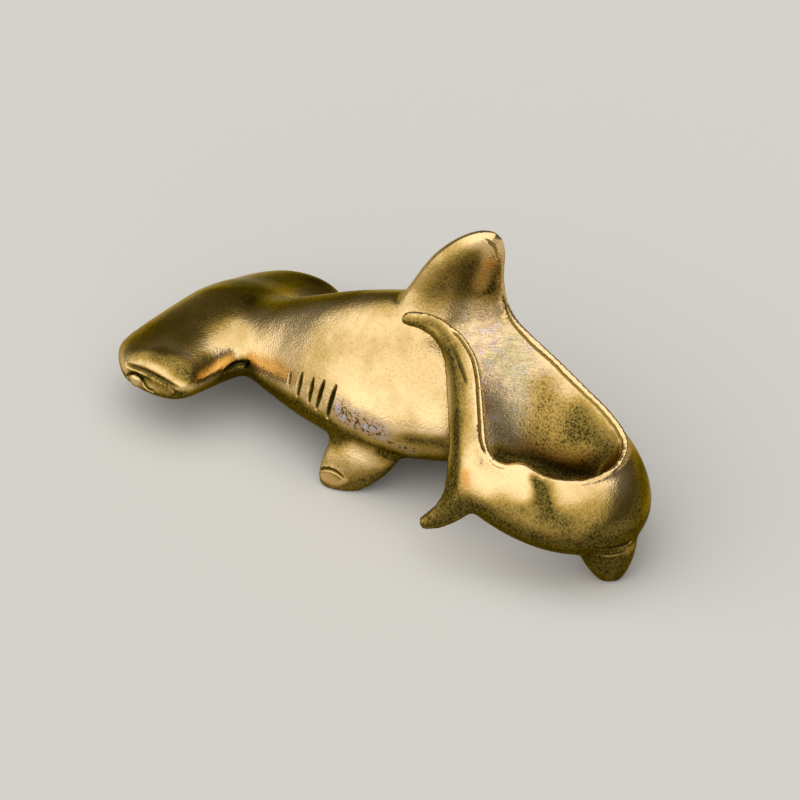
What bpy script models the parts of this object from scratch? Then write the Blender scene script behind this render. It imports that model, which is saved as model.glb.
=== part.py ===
"""A hammerhead shark figurine, cast in one piece in solid brass.

The shark swims to -X over a flat surface at Z = 0, its back up and its left side to -Y. Its spine
runs from the head at -X in a shallow S to the tail, which hooks round to the left and comes back
beside the body. It rests on the tips of both pectoral fins and on the pelvic fin under the hook.

The body is a loft of sections that hang from the line of the back. The head is a loft across the
body, from one eye to the other. The fins are lofts too. All of them are fused into one skin, whose
joins are filled as a modeller fills them with wax, and which is then thinned to some thousand
facets. The raised flat rim along the back and the eyeballs are joined to that skin, and the gill slits,
the creases over the eyes and the mouth are cut from it, so that they stay crisp.
"""

import math
from collections import namedtuple

import bmesh
import bpy
import numpy as np
from mathutils import Matrix, Vector

MM = 0.001  # metres in a millimetre; every size below is a real size in millimetres

# The casting
GRAIN = 0.20  # size of the cells that fuse the forms into one skin
FILLET_PASSES = 60  # passes that fill the joins out to a radius of about a millimetre
FILLET_RATE = 0.6  # how far each pass goes
POLISH_PASSES = 4  # passes that take the grain off the whole skin
FACETS = 8700  # triangles that the skin is thinned to, before the rim, the eyes and the cuts
RING_POINTS = 48  # points round a section of the body or the head
FIN_POINTS = 24  # points round a section of a fin
PITCH = 0.15  # rows of a table between two rings of a loft
NEAR = 0.05  # rows to either side of a place that show which way a curve runs there
ELLIPSE = 0.55  # length of a curve's handles, as a share of its radius, that makes an ellipse

# The body's sections hang from the line of the back. x, y: where the back line passes, seen from
# above. back: its height. depth: from back to belly. wide: how far under the back the section is
# widest. left and right: how far it reaches to the shark's own left and right there. crown and
# flank: how round the back and the flanks are, from 0 for a sharp ridge to ELLIPSE.
# lean: degrees that the section leans to the left.
Section = namedtuple("Section", "x y back depth wide left right crown flank lean")
BODY = (
    Section(-16.2, 14.2, 6.0, 2.6, 1.3, 2.0, 2.0, 0.50, 0.50, 0),  # brow, inside the head
    Section(-13.8, 12.2, 8.0, 4.8, 2.6, 5.0, 5.0, 0.50, 0.50, 0),  # head
    Section(-10.6, 9.5, 9.9, 7.3, 4.0, 4.9, 4.9, 0.42, 0.42, 0),  # neck
    Section(-7.2, 6.7, 12.4, 10.1, 6.8, 5.7, 5.7, 0.40, 0.40, 0),  # gills
    Section(-3.4, 3.8, 14.9, 12.8, 8.6, 7.2, 7.2, 0.38, 0.38, 0),  # shoulders
    Section(0.8, 1.4, 16.6, 14.8, 9.8, 8.4, 8.2, 0.34, 0.38, 0),
    Section(5.4, 0.0, 17.2, 15.5, 10.2, 8.6, 7.6, 0.32, 0.38, 0),  # under the dorsal fin
    Section(10.0, -1.3, 16.8, 14.9, 10.0, 7.6, 5.8, 0.28, 0.38, -2),  # waist
    Section(14.0, -4.1, 14.8, 12.8, 8.6, 6.0, 4.2, 0.22, 0.40, -5),  # loin
    Section(17.8, -7.7, 12.8, 10.6, 6.9, 4.5, 3.1, 0.20, 0.44, -5),
    Section(20.6, -10.9, 11.5, 8.9, 5.8, 3.4, 2.3, 0.20, 0.50, 0),  # into the hook
    Section(21.5, -13.8, 10.7, 8.0, 5.0, 2.8, 2.0, 0.20, 0.50, 6),  # end of the hook
    Section(20.0, -16.6, 10.1, 7.2, 4.4, 2.6, 2.6, 0.20, 0.50, 10),
    Section(16.8, -17.7, 9.8, 6.8, 4.0, 2.5, 2.8, 0.20, 0.50, 11),  # tail stalk
    Section(13.2, -16.5, 9.6, 6.3, 3.6, 2.3, 2.6, 0.26, 0.50, 12),
    Section(9.8, -14.9, 9.6, 5.3, 3.0, 1.6, 1.8, 0.30, 0.50, 16),  # root of the tail fin
    Section(7.4, -13.8, 9.0, 3.6, 1.8, 0.9, 0.9, 0.40, 0.50, 20),  # inside the tail fin
)

# The head, in its own level frame: out along the span, front and rear of its middle line, rise of
# its mid height, and how thick it is. The two wings mirror each other.
Wing = namedtuple("Wing", "out front rear rise thick")
HEAD = (
    Wing(0.0, 6.0, 5.8, 0.9, 7.0),
    Wing(3.2, 6.4, 5.5, 0.6, 6.4),
    Wing(6.4, 7.0, 4.5, 0.1, 5.4),
    Wing(9.2, 6.7, 4.2, -0.1, 4.8),
    Wing(11.2, 5.1, 4.0, -0.15, 4.3),
    Wing(12.2, 3.8, 3.4, -0.5, 2.6),
)
HEAD_CENTRE = (-13.9, 12.1, 4.5)
HEADING = 143.0  # degrees from +X to the way the head looks, seen from above
HEAD_NOD = 7.0  # degrees that the brow is down
HEAD_ROLL = 8.5  # degrees that the right wing is down
HEAD_BLUNT = 0.60  # handle of its front and rear edges, a little fuller than ELLIPSE

# A fin's sections from root to tip: where the middle of each lies along and up, how long the
# section is and how thick.
Blade = namedtuple("Blade", "along up long thick")
FULL_FRONT = 0.2  # how much thicker than an ellipse a section is towards its front

# Dorsal fin: along from the first of two points on the back towards the second, up from Z = 0.
DORSAL_FROM = (0.0, 0.5)
DORSAL_TO = (11.4, -1.3)
DORSAL = (
    Blade(6.3, 14.0, 11.2, 5.4),
    Blade(6.4, 16.6, 10.4, 4.0),
    Blade(6.6, 18.4, 8.6, 2.9),
    Blade(7.0, 20.2, 7.4, 2.5),
    Blade(7.6, 22.0, 6.3, 2.2),
    Blade(8.4, 23.6, 4.8, 1.8),
    Blade(9.1, 24.7, 3.0, 1.3),
    Blade(9.5, 25.2, 1.4, 0.7),
)

# Tail fin, from the tip of the lower lobe to the tip of the upper one: along from its root to the
# head, up in its own leaning plane.
TAIL_ROOT = (10.2, -15.2, 9.7)
TAIL_WAY = (-3.6, 1.5)  # the way its plane runs from the root, seen from above
TAIL_LEAN = 28.0  # degrees that it leans to the shark's left
TAIL_RIDGE = 0.6  # how much of a ridge its two sides have, from 0 for round to 1 for sharp
TAIL_FIN = (
    Blade(6.15, -6.75, 1.2, 1.1),
    Blade(5.3, -6.3, 1.8, 1.4),
    Blade(4.0, -5.2, 2.6, 1.7),
    Blade(2.9, -3.4, 3.6, 2.3),
    Blade(2.7, -1.2, 4.1, 2.8),  # at the tail stalk
    Blade(3.3, 1.4, 3.5, 2.5),
    Blade(4.0, 4.1, 3.4, 2.3),
    Blade(4.7, 6.4, 3.3, 2.1),
    Blade(5.4, 8.3, 3.0, 1.9),
    Blade(6.6, 9.8, 2.3, 1.7),
    Blade(8.0, 10.7, 1.9, 1.5),
    Blade(9.5, 11.0, 1.5, 1.3),
    Blade(10.8, 10.9, 1.2, 1.1),
    Blade(11.5, 10.75, 0.7, 0.7),
)

# Left pectoral fin: along the body from a row of BODY, out from under the back, up from Z = 0.
# The right one mirrors it about the body there.
Paddle = namedtuple("Paddle", "along out up long thick")
PECTORAL_ROW = 4.35
PECTORAL_SWEEP = 10.0  # degrees that its section turns outward to the front
PECTORAL = (
    Paddle(4.6, 3.6, 6.6, 7.8, 3.8),
    Paddle(4.6, 5.8, 4.8, 7.2, 3.3),
    Paddle(4.2, 7.2, 3.0, 6.8, 2.6),
    Paddle(3.5, 8.0, 1.5, 5.8, 2.1),
    Paddle(2.9, 8.4, 0.4, 4.4, 1.8),
    Paddle(2.6, 8.6, -0.4, 2.6, 1.4),
)

# Pelvic fin, a blunt cone under the hook: height, length and thickness of its sections.
PELVIC_ROW = 12.25
PELVIC = (
    (4.8, 5.4, 4.0),
    (3.2, 5.6, 4.2),
    (1.8, 4.6, 3.6),
    (0.7, 3.2, 2.8),
    (-0.3, 1.6, 1.5),
)

# Second dorsal fin, a low point on the back of the tail stalk: along towards the tail, up from
# the back.
SECOND_ROW = 14.15
SECOND = (
    Blade(0.1, -4.6, 3.4, 3.8),
    Blade(0.1, -1.8, 4.2, 3.8),
    Blade(0.2, -0.4, 3.4, 2.8),
    Blade(0.4, 0.3, 2.2, 1.8),
    Blade(0.5, 0.8, 1.2, 1.0),
    Blade(0.5, 1.0, 0.5, 0.5),
)

# The rim, a raised flat band: down the rear edge of the dorsal fin, along the back, and round the
# inside of the tail fin to its tip.
RIM_WIDE = 0.8
RIM_PROUD = 0.22  # how far it stands out of the skin
RIM_ROOT = 0.6  # how deep it is set in the skin
RIM_SOFT = 0.15  # how much is taken off its two upper edges
RIM_TAPER = 2.5  # how far from its ends it starts to narrow
RIM_PITCH = 0.8  # between two of its rings
RIM_ROWS = 0.5  # rows of BODY or of TAIL_FIN between two points of its line
RIM_OVER = 1.0  # how far out from its line it is let down on the skin
RIM_TOP = 6.6  # row of DORSAL where it starts, under the tip
RIM_DOWN = 2.2  # row of DORSAL where it leaves the fin
RIM_BACK = 7.6  # row of BODY where it comes down on the back
RIM_LEAVES = 14.5  # row of BODY where it turns over to the tail fin
RIM_JOINS = 4.6  # row of TAIL_FIN where it arrives there
RIM_INSET = 0.86  # how far out on a fin's half length it runs

# The grooves. A gill slit is given by its top and bottom ends, each a row of BODY and a share of
# the way round from the back to the belly, and by how wide it is.
SLITS = (
    ((3.60, 0.375), (3.62, 0.425), 0.26),
    ((3.86, 0.355), (3.86, 0.455), 0.36),
    ((4.12, 0.355), (4.12, 0.465), 0.40),
    ((4.36, 0.350), (4.30, 0.475), 0.44),
    ((4.60, 0.350), (4.53, 0.490), 0.44),
)
SLIT_DEEP = 0.5
EYE_SIZE = 1.6  # across the eyeball
EYE_PROUD = 0.25
EYE_FACETS = 20  # round the eyeball
EYE = (2.1, -0.5)  # forward and up from the middle of the wing's end
LID = ((3.2, -1.0), (2.8, -0.35), (2.15, 0.0), (1.5, -0.15), (1.2, -0.75), (-0.1, -0.85))
LID_WIDE = 0.24
LID_DEEP = 0.3
MOUTH = ((-1.4, 3.4), (0.8, 2.6), (1.9, 0.0), (0.8, -2.6), (-1.4, -3.4))  # forward and out
MOUTH_WIDE = 0.5
MOUTH_DEEP = 0.4
GROOVE_PITCH = 0.35  # between two rings of a groove's tool
GROOVE_OVER = 0.3  # how far a groove's tool stands over the skin
GROOVE_END = 0.15  # how wide it still is at its ends

FLOOR_SIZE = 80.0  # the block that trims the feet flat at Z = 0
FLOOR_DEEP = 4.0

BRASS_COLOUR = (0.60, 0.45, 0.17, 1.0)
BRASS_ROUGHNESS = 0.3


def blend(a, b, c, d, t):
    """A value between b and c on the smooth curve through all four."""
    return b + 0.5 * t * (c - a + t * (2 * a - 5 * b + 4 * c - d + t * (3 * (b - c) + d - a)))


def between(rows, place):
    """A row between the given ones, on a smooth curve through all of them."""
    last = len(rows) - 1
    place = min(max(place, 0.0), float(last))
    i = min(int(place), last - 1)
    near = (rows[max(i - 1, 0)], rows[i], rows[i + 1], rows[min(i + 2, last)])
    return type(rows[0])(*(blend(*values, place - i) for values in zip(*near)))


def places(start, end, pitch=PITCH):
    """Evenly spaced places from start to end."""
    count = math.ceil((end - start) / pitch)
    return [start + (end - start) * i / count for i in range(count + 1)]


def quarter(start, first, second, end):
    """A quarter of a section: points on a cubic curve, up to but without its end."""
    points = []
    steps = RING_POINTS // 4
    for i in range(steps):
        t = i / steps
        weights = ((1 - t) ** 3, 3 * t * (1 - t) ** 2, 3 * t * t * (1 - t), t ** 3)
        corners = (start, first, second, end)
        points.append(tuple(sum(w * p[k] for w, p in zip(weights, corners)) for k in range(2)))
    return points


def loft(skin, rings):
    """Adds a closed skin over a run of rings to the mesh."""
    loops = [[skin.verts.new(point * MM) for point in ring] for ring in rings]
    faces = [skin.faces.new(loops[0]), skin.faces.new(loops[-1])]
    for ring, following in zip(loops, loops[1:]):
        for i in range(len(ring)):
            j = (i + 1) % len(ring)
            faces.append(skin.faces.new((ring[i], ring[j], following[j], following[i])))
    bmesh.ops.recalc_face_normals(skin, faces=faces)


def sideways(way):
    """The way to the left of one that runs from head to tail, seen from above."""
    return Vector((way.y, -way.x, 0.0))


def leaning(side, degrees):
    """Up, leaning to a side."""
    angle = math.radians(degrees)
    return side * math.sin(angle) + Vector((0.0, 0.0, math.cos(angle)))


def hang(place):
    """The body's row at a place, its point on the back, and its ways left, up and to the tail."""
    row = between(BODY, place)
    ahead = between(BODY, place - NEAR)
    behind = between(BODY, place + NEAR)
    tail = Vector((behind.x - ahead.x, behind.y - ahead.y, 0.0)).normalized()
    up = leaning(sideways(tail), row.lean)
    return row, Vector((row.x, row.y, row.back)), tail.cross(up), up, tail


def body_ring(place):
    """One section of the body, from the back down its left side and up its right."""
    row, back, left, up, tail = hang(place)
    below = row.depth - row.wide
    upper = quarter(
        (0.0, 0.0), (row.crown, 0.0), (1.0, row.wide * (1 - row.flank)), (1.0, row.wide)
    )
    lower = quarter(
        (1.0, row.wide), (1.0, row.wide + ELLIPSE * below), (ELLIPSE, row.depth), (0.0, row.depth)
    )
    half = upper + lower
    ring = [back + left * out * row.left - up * down for out, down in half]
    ring.append(back - up * row.depth)
    ring += [back - left * out * row.right - up * down for out, down in reversed(half[1:])]
    return ring


def head_frame():
    """The head's middle and its ways forward, left and up."""
    turn = Matrix.Rotation(math.radians(HEADING), 3, "Z")
    turn = turn @ Matrix.Rotation(math.radians(HEAD_NOD), 3, "Y")
    turn = turn @ Matrix.Rotation(math.radians(HEAD_ROLL), 3, "X")
    return Vector(HEAD_CENTRE), turn.col[0], turn.col[1], turn.col[2]


def head_ring(place, side):
    """One section of the head, on its left (side 1) or its right (side -1)."""
    wing = between(HEAD, place)
    centre, forward, left, up = head_frame()
    middle = centre + left * wing.out * side + up * wing.rise
    high = wing.thick / 2
    round_high = high * HEAD_BLUNT
    rear = quarter(
        (-wing.rear, 0.0), (-wing.rear, round_high), (-wing.rear * HEAD_BLUNT, high), (0.0, high)
    )
    front = quarter(
        (0.0, high), (wing.front * HEAD_BLUNT, high), (wing.front, round_high), (wing.front, 0.0)
    )
    top = rear + front
    outline = top + [(wing.front, 0.0)] + [(along, -rise) for along, rise in reversed(top[1:])]
    return [middle + forward * along + up * rise for along, rise in outline]


def head(skin):
    steps = places(0.0, len(HEAD) - 1)
    rings = [head_ring(place, -1) for place in reversed(steps)]
    rings += [head_ring(place, 1) for place in steps[1:]]
    loft(skin, rings)


def blade_ring(middle, along, across, ridge=0.0):
    """One section of a fin: a lens that is fuller to its front, with or without a ridge."""
    ring = []
    for i in range(FIN_POINTS):
        angle = 2 * math.pi * i / FIN_POINTS
        sharp = math.copysign(1 - abs(math.cos(angle)), math.sin(angle))
        thick = (1 - ridge) * math.sin(angle) + ridge * sharp
        thick *= 1 - FULL_FRONT * math.cos(angle)
        ring.append(middle + along * math.cos(angle) + across * thick)
    return ring


def dorsal_section(place):
    """A level section of the dorsal fin: middle, half length, half thickness."""
    start = Vector((*DORSAL_FROM, 0.0))
    along = (Vector((*DORSAL_TO, 0.0)) - start).normalized()
    row = between(DORSAL, place)
    middle = start + along * row.along + Vector((0.0, 0.0, row.up))
    return middle, along * row.long / 2, sideways(along) * row.thick / 2


def dorsal_fin(skin):
    loft(skin, [blade_ring(*dorsal_section(place)) for place in places(0.0, len(DORSAL) - 1)])


def tail_frame():
    """The ways along, up and across the tail fin's plane."""
    along = Vector((*TAIL_WAY, 0.0)).normalized()
    up = leaning(sideways(along), TAIL_LEAN)
    return along, up, along.cross(up)


def tail_middle(place):
    """A point on the middle line of the tail fin."""
    along, up, across = tail_frame()
    row = between(TAIL_FIN, place)
    return Vector(TAIL_ROOT) + along * row.along + up * row.up


def tail_section(place):
    """A section of the tail fin, square to its middle line: middle, half length, half thickness."""
    row = between(TAIL_FIN, place)
    across = tail_frame()[2]
    run = (tail_middle(place + NEAR) - tail_middle(place - NEAR)).normalized()
    return tail_middle(place), run.cross(across) * row.long / 2, across * row.thick / 2


def tail_fin(skin):
    sections = [tail_section(place) for place in places(0.0, len(TAIL_FIN) - 1)]
    loft(skin, [blade_ring(*section, TAIL_RIDGE) for section in sections])


def pectoral_fin(skin, side):
    """The left pectoral fin (side 1) or the right one (side -1)."""
    row, back, left, up, tail = hang(PECTORAL_ROW)
    out = sideways(tail) * side
    sweep = math.radians(PECTORAL_SWEEP)
    along = tail * math.cos(sweep) - out * math.sin(sweep)
    fins = [between(PECTORAL, place) for place in places(0.0, len(PECTORAL) - 1)]
    foot = Vector((back.x, back.y, 0.0))
    middles = [foot + tail * fin.along + out * fin.out + Vector((0, 0, fin.up)) for fin in fins]
    across = along.cross(middles[-1] - middles[0]).normalized()
    rings = []
    for fin, middle in zip(fins, middles):
        rings.append(blade_ring(middle, along * fin.long / 2, across * fin.thick / 2))
    loft(skin, rings)


def pelvic_fin(skin):
    row, back, left, up, tail = hang(PELVIC_ROW)
    rings = []
    for height, length, thick in PELVIC:
        middle = back - up * (back.z - height) / up.z
        rings.append(blade_ring(middle, tail * length / 2, sideways(tail) * thick / 2))
    loft(skin, rings)


def second_dorsal_fin(skin):
    row, back, left, up, tail = hang(SECOND_ROW)
    rings = []
    for place in places(0.0, len(SECOND) - 1):
        fin = between(SECOND, place)
        middle = back + tail * fin.along + up * fin.up
        rings.append(blade_ring(middle, tail * fin.long / 2, left * fin.thick / 2))
    loft(skin, rings)


def forms():
    """All the forms in one mesh, still overlapping."""
    skin = bmesh.new()
    loft(skin, [body_ring(place) for place in places(0.0, len(BODY) - 1)])
    head(skin)
    dorsal_fin(skin)
    tail_fin(skin)
    pectoral_fin(skin, 1)
    pectoral_fin(skin, -1)
    pelvic_fin(skin)
    second_dorsal_fin(skin)
    mesh = bpy.data.meshes.new("forms")
    skin.to_mesh(mesh)
    skin.free()
    return mesh


def fuse(shark):
    """Turns the overlapping forms into one skin of small even cells."""
    remesh = shark.modifiers.new("one skin", "REMESH")
    remesh.mode = "VOXEL"
    remesh.voxel_size = GRAIN * MM
    view = bpy.context.evaluated_depsgraph_get()
    shark.data = bpy.data.meshes.new_from_object(shark.evaluated_get(view))
    shark.modifiers.clear()


def fill_joins(mesh):
    """Fills the sharp hollows between the forms, and leaves every edge that stands out."""
    count = len(mesh.vertices)
    points = np.empty(count * 3, dtype=np.float32)
    normals = np.empty(count * 3, dtype=np.float32)
    ends = np.empty(len(mesh.edges) * 2, dtype=np.int32)
    mesh.vertices.foreach_get("co", points)
    mesh.edges.foreach_get("vertices", ends)
    here = np.concatenate((ends[0::2], ends[1::2]))
    there = np.concatenate((ends[1::2], ends[0::2]))
    neighbours = np.bincount(here, minlength=count)[:, None]
    spots = points.reshape(-1, 3)
    ways = normals.reshape(-1, 3)
    for step in range(FILLET_PASSES):
        mesh.vertices.foreach_get("normal", normals)
        sums = np.stack([np.bincount(here, spots[there, k], count) for k in range(3)], axis=1)
        rise = np.sum((sums / neighbours - spots) * ways, axis=1, keepdims=True)
        spots += (FILLET_RATE * np.maximum(rise, 0.0) * ways).astype(np.float32)
        mesh.vertices.foreach_set("co", points)
        mesh.update()


def finish(shark):
    """Takes the grain off the skin and thins it to the facets that its shape needs."""
    polish = shark.modifiers.new("polish", "SMOOTH")
    polish.iterations = POLISH_PASSES
    thin = shark.modifiers.new("few facets", "DECIMATE")
    thin.ratio = FACETS / sum(len(face.vertices) - 2 for face in shark.data.polygons)
    thin.use_collapse_triangulate = True


def tool(name, skin):
    """A form that is joined to the casting or cut from it."""
    mesh = bpy.data.meshes.new(name)
    skin.to_mesh(mesh)
    skin.free()
    item = bpy.data.objects.new(name, mesh)
    item.hide_render = True
    item.display_type = "WIRE"
    bpy.context.scene.collection.objects.link(item)
    return item


def walk(points, pitch):
    """Points about a pitch apart on the smooth curve through the given ones."""
    last = len(points) - 1
    walked = []
    for k in range(last):
        near = (points[max(k - 1, 0)], points[k], points[k + 1], points[min(k + 2, last)])
        steps = max(1, round((points[k + 1] - points[k]).length / pitch))
        walked += [blend(*near, i / steps) for i in range(steps)]
    return walked + [points[last]]


def on_skin(shark, point):
    """The place on the skin that is nearest to a point, and the way out there."""
    found, spot, way_out, face = shark.closest_point_on_mesh(point * MM)
    return spot / MM, way_out


def rim_line():
    """Where the rim runs, each point with the way that it faces, as one vector of six."""
    line = []
    for place in reversed(places(RIM_DOWN, RIM_TOP, 1.0)):
        middle, along, across = dorsal_section(place)
        line.append(Vector((*(middle + along * RIM_INSET), *along.normalized())))
    for place in places(RIM_BACK, RIM_LEAVES, RIM_ROWS):
        row, back, left, up, tail = hang(place)
        line.append(Vector((*back, *up)))
    for place in places(RIM_JOINS, len(TAIL_FIN) - 1, RIM_ROWS):
        middle, along, across = tail_section(place)
        line.append(Vector((*(middle - along * RIM_INSET), *(-along.normalized()))))
    return walk(line, RIM_PITCH)


def rim(shark):
    line = rim_line()
    spots = [on_skin(shark, Vector(at[:3]) + Vector(at[3:]) * RIM_OVER)[0] for at in line]
    middles = list(spots)
    last = len(spots) - 1
    for i in range(1, last):
        middles[i] = (spots[i - 1] + spots[i] * 2 + spots[i + 1]) / 4
    half = RIM_WIDE / 2
    rings = []
    for i, middle in enumerate(middles):
        run = (middles[min(i + 1, last)] - middles[max(i - 1, 0)]).normalized()
        side = run.cross(Vector(line[i][3:])).normalized()
        up = side.cross(run)
        size = min(1.0, (1 + min(i, last - i)) * RIM_PITCH / RIM_TAPER)
        outline = (
            (-half, -RIM_ROOT), (-half, RIM_PROUD - RIM_SOFT), (RIM_SOFT - half, RIM_PROUD),
            (half - RIM_SOFT, RIM_PROUD), (half, RIM_PROUD - RIM_SOFT), (half, -RIM_ROOT),
        )
        rings.append([middle + (side * out + up * rise) * size for out, rise in outline])
    skin = bmesh.new()
    loft(skin, rings)
    return tool("rim", skin)


def groove(skin, shark, points, wide, deep):
    """Adds the tool for one groove: a wedge that follows the skin and tapers to its ends."""
    spots = [on_skin(shark, point) for point in walk(points, GROOVE_PITCH)]
    last = len(spots) - 1
    rings = []
    for i, (spot, way_out) in enumerate(spots):
        run = spots[min(i + 1, last)][0] - spots[max(i - 1, 0)][0]
        side = run.cross(way_out).normalized()
        size = GROOVE_END + (1 - GROOVE_END) * math.sqrt(abs(math.sin(math.pi * i / last)))
        brink = spot + way_out * GROOVE_OVER
        reach = side * wide / 2 * size * (deep + GROOVE_OVER) / deep
        rings.append([brink + reach, spot - way_out * deep * size, brink - reach])
    loft(skin, rings)


def on_flank(place, share, side):
    """A point on the body, at a share of the way round from the back to the belly."""
    ring = body_ring(place)
    at = share * RING_POINTS / 2
    i = int(at)
    if side < 0:
        ring = [ring[0]] + ring[:0:-1]
    return ring[i].lerp(ring[i + 1], at - i)


def on_wing_end(forward_by, up_by, side):
    """A point just off the end of one of the head's wings."""
    centre, forward, left, up = head_frame()
    return centre + forward * forward_by + up * up_by + left * (HEAD[-1].out + GROOVE_OVER) * side


def under_head(forward_by, out):
    """A point just under the head."""
    centre, forward, left, up = head_frame()
    return centre + forward * forward_by + left * out - up * HEAD[0].thick


def grooves(shark):
    """The gill slits, the creases over the eyes and the mouth."""
    skin = bmesh.new()
    for side in (1, -1):
        for top, bottom, wide in SLITS:
            ends = [on_flank(*top, side), on_flank(*bottom, side)]
            groove(skin, shark, ends, wide, SLIT_DEEP)
        groove(skin, shark, [on_wing_end(*spot, side) for spot in LID], LID_WIDE, LID_DEEP)
    groove(skin, shark, [under_head(*spot) for spot in MOUTH], MOUTH_WIDE, MOUTH_DEEP)
    return tool("grooves", skin)


def eyes(shark):
    """The two eyeballs, sunk in the ends of the head."""
    skin = bmesh.new()
    for side in (1, -1):
        spot, way_out = on_skin(shark, on_wing_end(*EYE, side))
        place = Matrix.Translation((spot - way_out * (EYE_SIZE / 2 - EYE_PROUD)) * MM)
        bmesh.ops.create_uvsphere(
            skin,
            u_segments=EYE_FACETS,
            v_segments=EYE_FACETS // 2,
            radius=EYE_SIZE / 2 * MM,
            matrix=place,
        )
    return tool("eyes", skin)


def floor():
    """What is trimmed off the feet, so that they stand flat at Z = 0."""
    skin = bmesh.new()
    place = Matrix.Translation((0.0, 0.0, -FLOOR_DEEP / 2 * MM))
    place = place @ Matrix.Diagonal((FLOOR_SIZE * MM, FLOOR_SIZE * MM, FLOOR_DEEP * MM, 1.0))
    bmesh.ops.create_cube(skin, size=1.0, matrix=place)
    return tool("floor", skin)


def combine(shark, item, operation):
    """Joins a tool to the casting or cuts it away."""
    boolean = shark.modifiers.new(item.name, "BOOLEAN")
    boolean.operation = operation
    boolean.solver = "EXACT"
    boolean.object = item
    item.parent = shark


def centre_on_origin(shark):
    """Moves the casting so that the middle of its box stands over the origin."""
    view = bpy.context.evaluated_depsgraph_get()
    corners = [Vector(corner) for corner in shark.evaluated_get(view).bound_box]
    low = Vector([min(corner[k] for corner in corners) for k in range(3)])
    high = Vector([max(corner[k] for corner in corners) for k in range(3)])
    shark.location = (-(low.x + high.x) / 2, -(low.y + high.y) / 2, 0.0)


def brass():
    material = bpy.data.materials.new("cast brass")
    material.use_nodes = True
    surface = material.node_tree.nodes["Principled BSDF"]
    surface.inputs["Base Color"].default_value = BRASS_COLOUR
    surface.inputs["Metallic"].default_value = 1.0
    surface.inputs["Roughness"].default_value = BRASS_ROUGHNESS
    return material


def main():
    for item in list(bpy.data.objects):
        bpy.data.objects.remove(item)
    shark = bpy.data.objects.new("shark", forms())
    bpy.context.scene.collection.objects.link(shark)
    fuse(shark)
    fill_joins(shark.data)
    shark.data.shade_smooth()
    shark.data.materials.append(brass())
    bpy.context.view_layer.update()
    band = rim(shark)
    cuts = grooves(shark)
    balls = eyes(shark)
    finish(shark)
    combine(shark, band, "UNION")
    combine(shark, cuts, "DIFFERENCE")
    combine(shark, balls, "UNION")
    combine(shark, floor(), "DIFFERENCE")
    centre_on_origin(shark)


main()
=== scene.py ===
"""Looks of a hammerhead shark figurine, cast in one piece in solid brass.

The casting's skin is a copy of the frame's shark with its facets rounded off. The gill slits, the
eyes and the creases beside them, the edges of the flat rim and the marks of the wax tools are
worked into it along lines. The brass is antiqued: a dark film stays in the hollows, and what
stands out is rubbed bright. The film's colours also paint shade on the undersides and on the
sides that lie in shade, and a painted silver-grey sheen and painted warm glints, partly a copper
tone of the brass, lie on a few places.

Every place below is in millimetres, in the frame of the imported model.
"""

import math
from collections import namedtuple

import bpy
import numpy as np
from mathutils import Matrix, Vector
from mathutils.kdtree import KDTree


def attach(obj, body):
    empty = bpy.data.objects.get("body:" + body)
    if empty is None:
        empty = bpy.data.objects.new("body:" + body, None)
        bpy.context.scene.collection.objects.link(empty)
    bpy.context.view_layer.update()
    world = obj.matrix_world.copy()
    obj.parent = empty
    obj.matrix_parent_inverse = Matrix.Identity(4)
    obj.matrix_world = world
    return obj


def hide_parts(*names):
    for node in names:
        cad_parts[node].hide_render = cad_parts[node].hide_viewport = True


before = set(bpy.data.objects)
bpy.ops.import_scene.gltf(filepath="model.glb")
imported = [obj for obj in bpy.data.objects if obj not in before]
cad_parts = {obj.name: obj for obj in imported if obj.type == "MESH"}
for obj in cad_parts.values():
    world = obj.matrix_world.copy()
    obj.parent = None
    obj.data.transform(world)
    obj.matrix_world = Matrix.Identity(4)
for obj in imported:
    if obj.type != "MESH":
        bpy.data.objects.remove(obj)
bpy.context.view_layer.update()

bl_info = {
    "name": "Brass Hammerhead Figurine",
    "version": (1, 1, 0),
    "blender": (4, 5, 0),
    "location": "View3D > Sidebar > Shark",
    "description": "A hammerhead shark figurine, cast in antiqued brass",
    "category": "Add Mesh",
}

NODE = "shark"
BODY = "root"
MM = 0.001

# The skin
SKIN_CELL = 0.25  # size of the cells of the even skin
SKIN_ROUNDS = 10  # rounds that take the facets off it
SMOOTH_IN = 0.5  # share that a round moves each point to the middle of its neighbours
SMOOTH_OUT = -0.52  # share that it moves it back, so that thin fins don't shrink
FINE_CUTS = 2  # cuts across each cell beside a line
FINE_MARGIN = 0.26  # how far past a line's edge the cells are cut
FINE_ROUNDS = 4  # rounds that smooth the cut cells
TRACE = 0.1  # between two points of a traced line
SAME_SIDE = 0.15  # least cosine between a vertex's way out and a line's, to lie on one side of a fin

# How a line is worked in. Shares are counted in halves of its width.
BROAD_LINE = 1.0  # from this width on a line needs no finer cells
PAST_LINE = 0.4  # how far past its width a line still raises the metal
FADE_LONG = 0.6  # length over which a line that doesn't taper fades in
FADE_LEAST = 0.3  # how strong it starts
LIP_AT = 1.45  # share at which the metal beside a line stands highest
LIP_WIDE = 0.4
FILM_FROM = 0.62  # share up to which the film in a line is whole
FILM_TO = 1.15  # share at which it ends

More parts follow.
